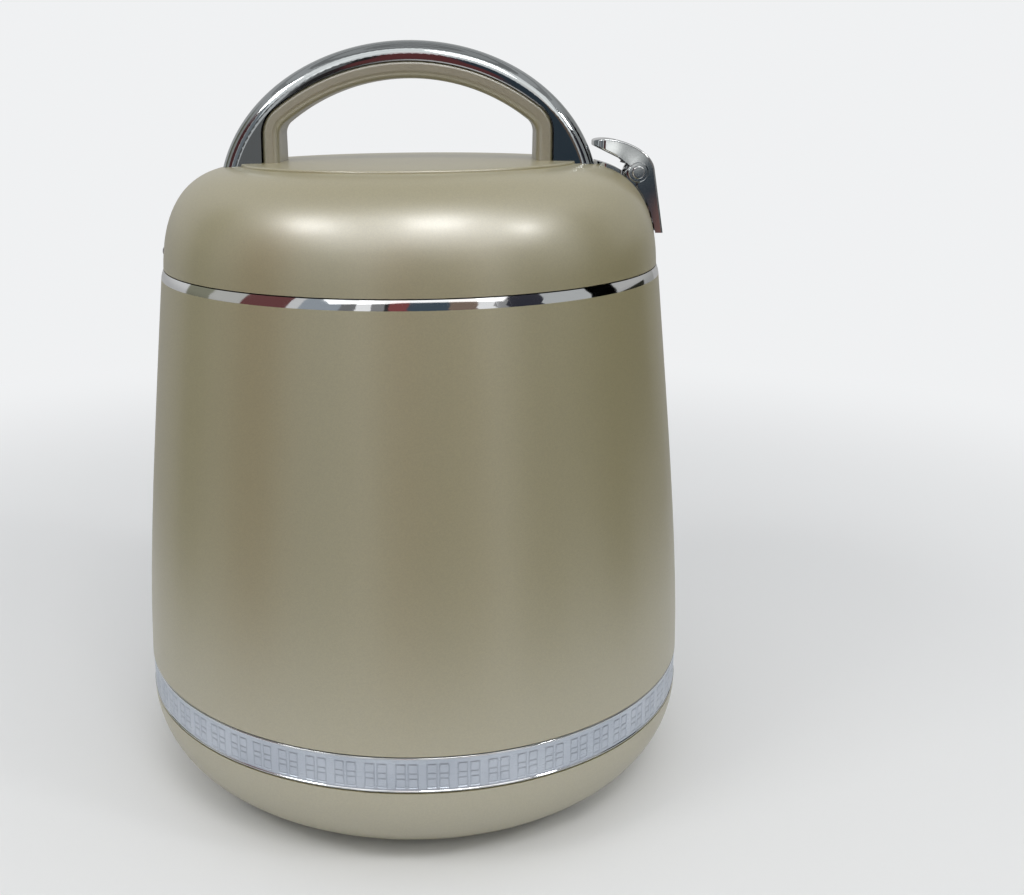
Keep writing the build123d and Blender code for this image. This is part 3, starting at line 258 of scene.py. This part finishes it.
def bare_metal(name, low, high, turned):
    """Steel with brush lines around the axis where it is turned, or else plain zinc grain."""
    f = Finish(name)
    f.set(Metallic=1.0)
    source = f.scaled((7000, 3, 7000), f.polar()) if turned else f.scaled((1500, 1500, 1500))
    grain = f.noise(1.0, 3, 0.65, source)
    f.colour(f.blend(f.remap(f.noise(25, 4), NOISE_SPAN), low, high))
    f.rough(f.remap(grain, (0.25, 0.75), 0.22, 0.42))
    f.bump(grain, 0.03 * MM, 0.25)
    return f.material


def moulded_plastic(name, low, high):
    """Dark plastic with the fine grain of its mould."""
    f = Finish(name)
    f.set(IOR=1.46)
    cloud = f.noise(30, 4)
    f.colour(f.blend(f.remap(cloud, NOISE_SPAN), low, high))
    f.rough(f.remap(cloud, NOISE_SPAN, 0.45, 0.58))
    f.bump(f.cells(1400)["Distance"], 0.05 * MM, 0.4)
    return f.material


def rigid_foam(name, low, high):
    """Poured insulation with coarse and fine cells."""
    f = Finish(name)
    f.set(Roughness=0.9)
    pores = f.math("ADD", f.cells(900)["Distance"], f.cells(2600)["Distance"])
    tone = f.math("ADD", f.math("MULTIPLY", pores, 0.5), f.math("MULTIPLY", f.noise(18, 4), 0.5))
    f.colour(f.blend(f.remap(tone, (0.2, 0.9)), low, high))
    f.bump(pores, 0.3 * MM, 0.6)
    return f.material


def soft_seal(name, low, high, roughness):
    """Rubber or silicone with a dull, slightly uneven skin."""
    f = Finish(name)
    f.set(IOR=1.43)
    f.colour(f.blend(f.remap(f.noise(60, 4), NOISE_SPAN), low, high))
    f.rough(f.remap(f.noise(300, 3), NOISE_SPAN, roughness - 0.07, roughness + 0.07))
    f.bump(f.noise(1200, 2), 0.04 * MM, 0.35)
    return f.material


paint = champagne_paint("champagne_paint")
# the grip's copy of the body paint, darkened to 0.62: painted shade
grip_paint_shaded = champagne_paint("grip_paint_shaded", shade=0.62)
# the arch's plating is darkened to about 0.42: painted shade, so that it mirrors the studio greyer
plating = chrome("chrome_plating_painted_dark", (0.40, 0.425, 0.435))
latch_plating = chrome("latch_plating", (0.60, 0.62, 0.63))
ring_plating = chrome("ring_plating", (0.88, 0.89, 0.90))
rim_plating = chrome("rim_plating", (0.70, 0.72, 0.74))
band_face = satin_band("band_silver", (0.50, 0.545, 0.62), (0.57, 0.615, 0.69), (0.26, 0.36))
# a darker silver for the fret's cut lines: painted shade in the cuts
band_line_painted_shade = satin_band("band_engraving_painted_shade", (0.43, 0.47, 0.54), (0.49, 0.53, 0.60), (0.30, 0.40))
steel = bare_metal("food_steel", (0.60, 0.60, 0.61), (0.70, 0.70, 0.71), turned=True)
zinc = bare_metal("zinc_hardware", (0.50, 0.50, 0.50), (0.62, 0.62, 0.63), turned=False)
plastic = moulded_plastic("dark_plastic", (0.030, 0.029, 0.028), (0.042, 0.040, 0.038))
foam = rigid_foam("rigid_foam", (0.60, 0.50, 0.30), (0.80, 0.72, 0.50))
rubber = soft_seal("foot_rubber", (0.022, 0.022, 0.022), (0.035, 0.035, 0.034), 0.75)
silicone = soft_seal("seal_silicone", (0.60, 0.59, 0.56), (0.68, 0.67, 0.64), 0.5)

FINISHES = {
    paint: ("outer_shell", "base_cup", "lid_shell"),
    grip_paint_shaded: ("handle_grip",),
    plating: ("handle_arch",),
    latch_plating: ("latch_lever", "latch_bracket", "latch_pin"),
    ring_plating: ("chrome_trim_ring",),
    band_face: ("base_band",),
    steel: ("inner_pot", "lid_liner"),
    zinc: (
        "base_screws", "hinge_bracket", "hinge_bracket_screws", "hinge_pin", "hinge_leaf", "hinge_leaf_screws",
        "catch_keeper", "keeper_screws", "lid_frame_screws", "handle_screws", "latch_bracket_screws", "latch_spring",
    ),
    plastic: ("rim_collar", "lid_frame"),
    foam: ("body_foam", "lid_foam"),
    rubber: ("foot_ring",),
    silicone: ("lid_gasket",),
}
for finish, names in FINISHES.items():
    for name in names:
        slots = nodes[name].data.materials
        for index in range(len(slots)):
            slots[index] = finish


# ---------------------------------------------------------------- object helpers
def add_object(name, data):
    piece = bpy.data.objects.new(name, data)
    bpy.context.scene.collection.objects.link(piece)
    return piece


def mesh_object(name, bm, *materials):
    """A new object with bm's mesh; bm is freed."""
    mesh = bpy.data.meshes.new(name)
    bm.to_mesh(mesh)
    bm.free()
    for material in materials:
        mesh.materials.append(material)
    return add_object(name, mesh)


def circle(bm, radius, height, segments):
    """New vertices in a circle around the axis."""
    turns = [2 * math.pi * step / segments for step in range(segments)]
    return [bm.verts.new((radius * math.cos(turn), radius * math.sin(turn), height)) for turn in turns]


def strip(bm, lower, upper):
    """Faces between two rings of as many vertices."""
    count = len(lower)
    return [
        bm.faces.new((lower[step], lower[(step + 1) % count], upper[(step + 1) % count], upper[step]))
        for step in range(count)
    ]


# ---------------------------------------------------------------- fretted band
band_low_corner, band_high_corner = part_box("base_band")
BAND_LOW = band_low_corner.z
BAND_HIGH = band_high_corner.z
BAND_HEIGHT = BAND_HIGH - BAND_LOW
# the band is widest at its foot, and the smaller number keeps the ring inside the CAD box
BAND_LOW_RADIUS = min(band_high_corner.x, band_high_corner.y)
BAND_HIGH_RADIUS = max(
    math.hypot(v.co.x, v.co.y) for v in nodes["base_band"].data.vertices if abs(v.co.z - BAND_HIGH) < 0.05 * MM
)
BAND_WALL = 1.5 * MM

MOTIFS = 64
MOTIF_PHASE = math.radians(-89.1)   # a motif's middle, seen from the front
COLUMN_MIDDLE = 2.10 * MM           # a column's middle from its motif's middle
COLUMN_HALF = 1.55 * MM             # from a column's middle to its upright lines
BAR_HEIGHTS = (1.80 * MM, 5.15 * MM, 7.15 * MM, 10.50 * MM)   # the bars between the uprights, above the band's foot
LINE_HALF = 0.21 * MM               # half the width of a line's floor
LINE_SLOPE = 0.10 * MM              # the width of its sides
LINE_DEPTH = 0.11 * MM
LINE_REACH = LINE_HALF + 0.01 * MM  # a little more than the floor, so that its edges count as cut
FACE_INSET = 0.28 * MM              # the fretted face behind the two polished rims
RIM_PROFILE = (                     # height from the band's edge, depth behind the wall's surface
    (0.00 * MM, 0.25 * MM), (0.08 * MM, 0.09 * MM), (0.20 * MM, 0.02 * MM), (0.32 * MM, 0.00 * MM),
    (0.44 * MM, 0.02 * MM), (0.56 * MM, 0.09 * MM), (0.66 * MM, 0.25 * MM), (0.72 * MM, FACE_INSET),
)
RIM_HEIGHT = RIM_PROFILE[-1][0]
# the lines' slot holds the darker silver, painted shade in the cuts
SHADED_LINE_SLOT, RIM_SLOT = 1, 2          # the band's material slots; 0 is its face
SHARP_ANGLE = math.radians(40)


def body_radius_at(height):
    """The wall's outside radius at a height above the band's foot, in line with the band's own solid."""
    share = height / BAND_HEIGHT
    return BAND_LOW_RADIUS + (BAND_HIGH_RADIUS - BAND_LOW_RADIUS) * share * share


def line_stops(middle):
    """Where a line that is cut across this axis starts, reaches its floor, leaves it and ends."""
    reach = LINE_HALF + LINE_SLOPE
    return middle - reach, middle - LINE_HALF, middle + LINE_HALF, middle + reach


def engraved(offset, height):
    """Whether the fret is cut at this place of a motif."""
    if not BAR_HEIGHTS[0] - LINE_REACH < height < BAR_HEIGHTS[-1] + LINE_REACH:
        return False
    in_bar = any(abs(height - bar) < LINE_REACH for bar in BAR_HEIGHTS)
    for middle in (-COLUMN_MIDDLE, COLUMN_MIDDLE):
        past_upright = abs(offset - middle) - COLUMN_HALF
        if abs(past_upright) < LINE_REACH or (in_bar and past_upright <= LINE_REACH):
            return True
    return False


def fret_band():
    """A closed ring with two polished rims, and the fret cut into the face between them."""
    mean_radius = (BAND_LOW_RADIUS + BAND_HIGH_RADIUS) / 2
    pitch = 2 * math.pi * mean_radius / MOTIFS
    uprights = [side * COLUMN_MIDDLE + edge * COLUMN_HALF for side in (-1, 1) for edge in (-1, 1)]
    across = [-pitch / 2, *sorted(stop for line in uprights for stop in line_stops(line)), pitch / 2]
    # around the ring: the place on it, and the offset from the motif's middle
    places = [(motif * pitch + offset, offset) for motif in range(MOTIFS) for offset in across[:-1]]
    # up the ring: the height above its foot, and the depth behind the wall's surface
    levels = [
        *RIM_PROFILE,
        *sorted((stop, FACE_INSET) for bar in BAR_HEIGHTS for stop in line_stops(bar)),
        *((BAND_HEIGHT - height, depth) for height, depth in reversed(RIM_PROFILE)),
    ]
    bm = bmesh.new()

    def ring(height, radii):
        row = []
        for (place, _), radius in zip(places, radii):
            turn = MOTIF_PHASE + place / mean_radius
            row.append(bm.verts.new((radius * math.cos(turn), radius * math.sin(turn), BAND_LOW + height)))
        return row

    rows = []
    for height, inset in levels:
        surface = body_radius_at(height) - inset
        rows.append(ring(height, [
            surface - LINE_DEPTH if engraved(offset, height) else surface for _, offset in places
        ]))
    for height in (BAND_HEIGHT, 0.0):
        rows.append(ring(height, [body_radius_at(height) - BAND_WALL] * len(places)))
    strips = [strip(bm, lower, upper) for lower, upper in zip(rows, [*rows[1:], rows[0]])]

    # the strips between two levels; the rims take the chrome and the cut lines the darker silver, painted shade in
    # the cuts; the band's edges and back keep the face's finish
    for (low, _), (high, _), faces in zip(levels, levels[1:], strips):
        middle = (low + high) / 2
        for step, face in enumerate(faces):
            first = step % (len(across) - 1)
            if not RIM_HEIGHT < middle < BAND_HEIGHT - RIM_HEIGHT:
                face.material_index = RIM_SLOT
            elif engraved((across[first] + across[first + 1]) / 2, middle):
                face.material_index = SHADED_LINE_SLOT
    for face in bm.faces:
        face.smooth = True
    bmesh.ops.recalc_face_normals(bm, faces=bm.faces)
    band = mesh_object("fret_band", bm, band_face, band_line_painted_shade, rim_plating)
    band.data.set_sharp_from_angle(angle=SHARP_ANGLE)
    return band


band = fret_band()
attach(band, "casserole_body")
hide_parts("base_band")

# ---------------------------------------------------------------- camera
CAMERA_AZIMUTH = math.radians(-87.5)
CAMERA_DISTANCE = 0.4494            # from the axis
CAMERA_HEIGHT = 0.2607
CAMERA_PITCH = math.radians(16.80)  # downwards
CAMERA_ROLL = math.radians(0.677)
CAMERA_LENS = 41.19                 # in mm, as the sensor's width is
CAMERA_SENSOR = 36.0
CAMERA_SHIFT = 0.09778              # the photograph's framing: the object stands left of the middle
CAMERA_CLIP = 0.01


def direction(azimuth, elevation=0.0):
    """Away from the axis: azimuth from the camera's side, + to the right, and elevation, in degrees."""
    turn = CAMERA_AZIMUTH + math.radians(azimuth)
    rise = math.radians(elevation)
    return Vector((math.cos(turn) * math.cos(rise), math.sin(turn) * math.cos(rise), math.sin(rise)))


def camera_axes():
    """The camera's right, up and back."""
    forward = -direction(0) * math.cos(CAMERA_PITCH) - Vector((0, 0, math.sin(CAMERA_PITCH)))
    level = forward.cross(Vector((0, 0, 1))).normalized()
    upright = level.cross(forward)
    right = level * math.cos(CAMERA_ROLL) - upright * math.sin(CAMERA_ROLL)
    up = level * math.sin(CAMERA_ROLL) + upright * math.cos(CAMERA_ROLL)
    return right, up, -forward


camera_data = bpy.data.cameras.new("camera")
camera_data.sensor_fit = "HORIZONTAL"
camera_data.sensor_width = CAMERA_SENSOR
camera_data.lens = CAMERA_LENS
camera_data.shift_x = CAMERA_SHIFT
camera_data.clip_start = CAMERA_CLIP
camera = add_object("camera", camera_data)
placed = Matrix(camera_axes()).transposed().to_4x4()
placed.translation = direction(0) * CAMERA_DISTANCE + Vector((0, 0, CAMERA_HEIGHT))
camera.matrix_world = placed
bpy.context.scene.camera = camera

# ---------------------------------------------------------------- world
PALE = (0.87, 0.88, 0.89)           # what the background shows
FILL_COLOUR = (0.98, 0.99, 1.0)     # what lights the object instead
FILL_LOW = 0.21                     # its strength level with the object and below
FILL_GAIN = 0.54                    # what it gains up to straight above


def studio_world():
    """A pale background that lights the object from above more than from the sides."""
    world = bpy.data.worlds.new("studio")
    bpy.context.scene.world = world
    sky = emptied(world)

    def background(colour, strength):
        node = sky.add("ShaderNodeBackground")
        sky.give(node.inputs["Color"], colour)
        sky.give(node.inputs["Strength"], strength)
        return node.outputs["Background"]

    height = sky.axes(sky.add("ShaderNodeTexCoord").outputs["Generated"])["Z"]
    above = sky.math("MULTIPLY", sky.math("MAXIMUM", height, 0.0), FILL_GAIN)
    fill = background(FILL_COLOUR, sky.math("ADD", above, FILL_LOW))
    sky.surface(sky.mix(sky.seen_rays(), fill, background(PALE, 1.0)), "ShaderNodeOutputWorld")


studio_world()

# ---------------------------------------------------------------- floor
FLOOR_DROP = 0.2 * MM               # under the foot, so that the two surfaces don't meet
FLOOR_RADII = (0.05, 0.15, 0.3, 0.5, 0.8)
FLOOR_SEGMENTS = 96
FLOOR_FADE = (0.25, 0.75)           # between these radii it fades into the background's colour
FLOOR_MIRROR_FADE = (0.15, 0.50)    # and between these it fades out of reflections
PAPER_LIT = (0.50, 0.51, 0.52)      # what throws light back at the object
PAPER_SEEN = (0.84, 0.85, 0.86)     # what the camera sees


def floor_paper():
    """Paper that is pale to look at, and throws less light back at the object than it shows."""
    material = bpy.data.materials.new("floor_paper")
    tree = emptied(material)
    seen = tree.seen_rays()
    paper = tree.add("ShaderNodeBsdfDiffuse")
    tree.give(paper.inputs["Color"], tree.blend(seen, PAPER_LIT, PAPER_SEEN))
    length = tree.add("ShaderNodeVectorMath", operation="LENGTH")
    tree.give(length.inputs[0], tree.add("ShaderNodeTexCoord").outputs["Object"])
    distance = length.outputs["Value"]
    fade = tree.math("MULTIPLY", tree.remap(distance, FLOOR_FADE, smooth=True), seen)
    sheet = tree.mix(fade, paper.outputs["BSDF"], tree.emission(PALE))
    # far off, a mirror looks past the floor at the studio's walls
    glossy = tree.add("ShaderNodeLightPath").outputs["Is Glossy Ray"]
    gone = tree.math("MULTIPLY", tree.remap(distance, FLOOR_MIRROR_FADE, smooth=True), glossy)
    tree.surface(tree.mix(gone, sheet, tree.add("ShaderNodeBsdfTransparent").outputs["BSDF"]))
    return material


def floor_disc():
    """A round floor under the object."""
    bm = bmesh.new()
    centre = bm.verts.new((0, 0, 0))
    circles = [circle(bm, radius, 0, FLOOR_SEGMENTS) for radius in FLOOR_RADII]
    first = circles[0]
    for step in range(FLOOR_SEGMENTS):
        bm.faces.new((centre, first[step], first[(step + 1) % FLOOR_SEGMENTS]))
    for inner, outer in zip(circles, circles[1:]):
        strip(bm, outer, inner)
    floor = mesh_object("floor", bm, floor_paper())
    floor.location.z = -FLOOR_DROP


floor_disc()

# ---------------------------------------------------------------- studio, seen by reflections alone
WALL_RADIUS = 3.0
WALL_HEIGHTS = (-3.0, -1.5, -0.3, 0.4, 1.2, 2.0, 2.9)
WALL_SEGMENTS = 72
LID_LEVEL = 0.20                    # elevations are seen from here, and the lamps are aimed at it
LOW_WALL = (-3, 9)                  # elevations through which the walls gain their full brightness
LOW_WALL_SHARE = 0.70               # what they have of it below
CEILING_FADE = (30, 44)             # elevations through which the walls turn into the ceiling

# what stands around the room: azimuth where it starts, from the camera in degrees, + to the right; its colour
WALL_TONES = (
    (-180, (0.58, 0.58, 0.58)), (-118, (0.20, 0.20, 0.15)), (-99, (0.42, 0.42, 0.40)), (-79, (0.13, 0.05, 0.05)),
    (-55, (0.56, 0.56, 0.56)), (-50, (0.28, 0.31, 0.34)), (-31, (0.16, 0.16, 0.16)), (-24, (0.82, 0.82, 0.82)),
    (-17, (0.22, 0.22, 0.22)), (-12, (0.03, 0.03, 0.03)), (-9, (0.20, 0.06, 0.06)), (-1, (0.05, 0.07, 0.09)),
    (17, (0.19, 0.14, 0.11)), (30, (0.80, 0.80, 0.80)), (38, (0.26, 0.26, 0.26)), (45, (0.03, 0.03, 0.04)),
    (61, (0.42, 0.43, 0.43)), (85, (0.0, 0.0, 0.0)), (102, (0.42, 0.42, 0.41)), (143, (0.58, 0.58, 0.58)),
)

# the ceiling's bays: elevation where one starts, its brightness
CEILING_TONES = ((0, 0.60), (46, 0.40), (52, 0.60), (60, 0.32), (67, 0.50), (76, 0.33), (83, 0.44))


def mirrored_only(piece):
    """A piece of the studio that shows in reflections and nowhere else."""
    piece.visible_camera = False
    piece.visible_diffuse = False
    piece.visible_shadow = False
    piece.visible_transmission = False
    piece.visible_volume_scatter = False


def wall_material():
    """The room's tones around and overhead, by the direction in which they are seen from the object."""
    material = bpy.data.materials.new("studio_walls")
    tree = emptied(material)
    x, y, z = tree.axes(tree.add("ShaderNodeTexCoord").outputs["Object"])
    # 0 to 1 around the room, with the camera's side in the middle
    share = tree.math("DIVIDE", tree.math("ARCTAN2", y, x), 2 * math.pi)
    around = tree.math("FRACT", tree.math("ADD", share, 0.5 - CAMERA_AZIMUTH / (2 * math.pi)))
    wall = tree.steps(around, [((azimuth + 180) / 360, colour) for azimuth, colour in WALL_TONES])
    rise = tree.math("ARCTAN2", tree.math("SUBTRACT", z, LID_LEVEL), tree.from_axis(x, y))
    low_wall, ceiling_fade = [[math.radians(end) for end in span] for span in (LOW_WALL, CEILING_FADE)]
    dimmed = tree.add("ShaderNodeVectorMath", operation="SCALE")
    tree.give(dimmed.inputs[0], wall)
    tree.give(dimmed.inputs["Scale"], tree.remap(rise, low_wall, LOW_WALL_SHARE, 1.0, smooth=True))
    ceiling = tree.steps(
        tree.math("DIVIDE", rise, math.pi / 2),
        [(elevation / 90, (tone, tone, tone)) for elevation, tone in CEILING_TONES],
    )
    overhead = tree.remap(rise, ceiling_fade, smooth=True)
    tree.surface(tree.emission(tree.blend(overhead, dimmed.outputs["Vector"], ceiling)))
    return material


def studio_walls():
    """A round room with a flat ceiling."""
    bm = bmesh.new()
    circles = [circle(bm, WALL_RADIUS, height, WALL_SEGMENTS) for height in WALL_HEIGHTS]
    for lower, upper in zip(circles, circles[1:]):
        strip(bm, lower, upper)
    bm.faces.new(circles[-1])
    mirrored_only(mesh_object("studio_walls", bm, wall_material()))


def card(name, azimuths, heights, colour, inset=0.1):
    """A lit card, inset from the wall; azimuths from the camera's side in degrees, + to the right."""
    segments = 6
    material = bpy.data.materials.new(name)
    tree = emptied(material)
    tree.surface(tree.emission(colour))
    bm = bmesh.new()
    columns = []
    for step in range(segments + 1):
        azimuth = azimuths[0] + (azimuths[1] - azimuths[0]) * step / segments
        foot = direction(azimuth) * (WALL_RADIUS - inset)
        columns.append([bm.verts.new((foot.x, foot.y, height)) for height in heights])
    for (low, high), (next_low, next_high) in zip(columns, columns[1:]):
        bm.faces.new((low, next_low, next_high, high))
    mirrored_only(mesh_object(name, bm, material))


studio_walls()
# cards that the latch's cheek and the arch's legs mirror
card("card_pale", (4.7, 11.6), (0.085, 0.32), (0.46, 0.47, 0.46))
card("card_glint_left", (5.5, 6.5), (0.10, 0.14), (1.6, 1.6, 1.55), inset=0.2)
card("card_glint_right", (6.9, 7.6), (0.07, 0.10), (1.6, 1.6, 1.55), inset=0.2)
card("card_brown", (8.4, 11.6), (-0.34, -0.02), (0.26, 0.13, 0.11))
card("card_left_leg", (-15.4, -14.0), (-0.20, 0.30), (0.07, 0.085, 0.08))
card("card_left_foot", (-13.9, -12.9), (-0.18, -0.02), (0.75, 0.76, 0.74))
card("card_right_foot", (2.4, 3.5), (-0.18, -0.04), (0.45, 0.21, 0.17))
# and a dark one that the body's right side mirrors
card("card_dark", (66, 128), (-0.42, 0.38), (0.02, 0.02, 0.015))

# ---------------------------------------------------------------- lamps
LAMP_WHITE = (1.0, 0.99, 0.97)


def soft_box(name, azimuth, elevation, distance, width, height, watts):
    """A soft box aimed at the lid; its place in degrees, azimuth from the camera's side, + to the right."""
    away = direction(azimuth, elevation)
    data = bpy.data.lights.new(name, "AREA")
    data.shape = "RECTANGLE"
    data.size = width
    data.size_y = height
    data.energy = watts
    data.color = LAMP_WHITE
    lamp = add_object(name, data)
    lamp.location = Vector((0, 0, LID_LEVEL)) + away * distance
    lamp.rotation_euler = away.to_track_quat("Z", "Y").to_euler()


soft_box("window_left", -54, 42, 1.5, 0.46, 0.26, 3.0)
soft_box("window_right", 59, 35, 1.5, 0.17, 0.17, 2.0)
soft_box("top_front", 16, 50, 1.4, 0.46, 0.26, 2.7)
soft_box("wide_glow", 3, 46, 1.5, 2.2, 0.90, 6.3)

bpy.context.scene.view_settings.view_transform = "Standard"
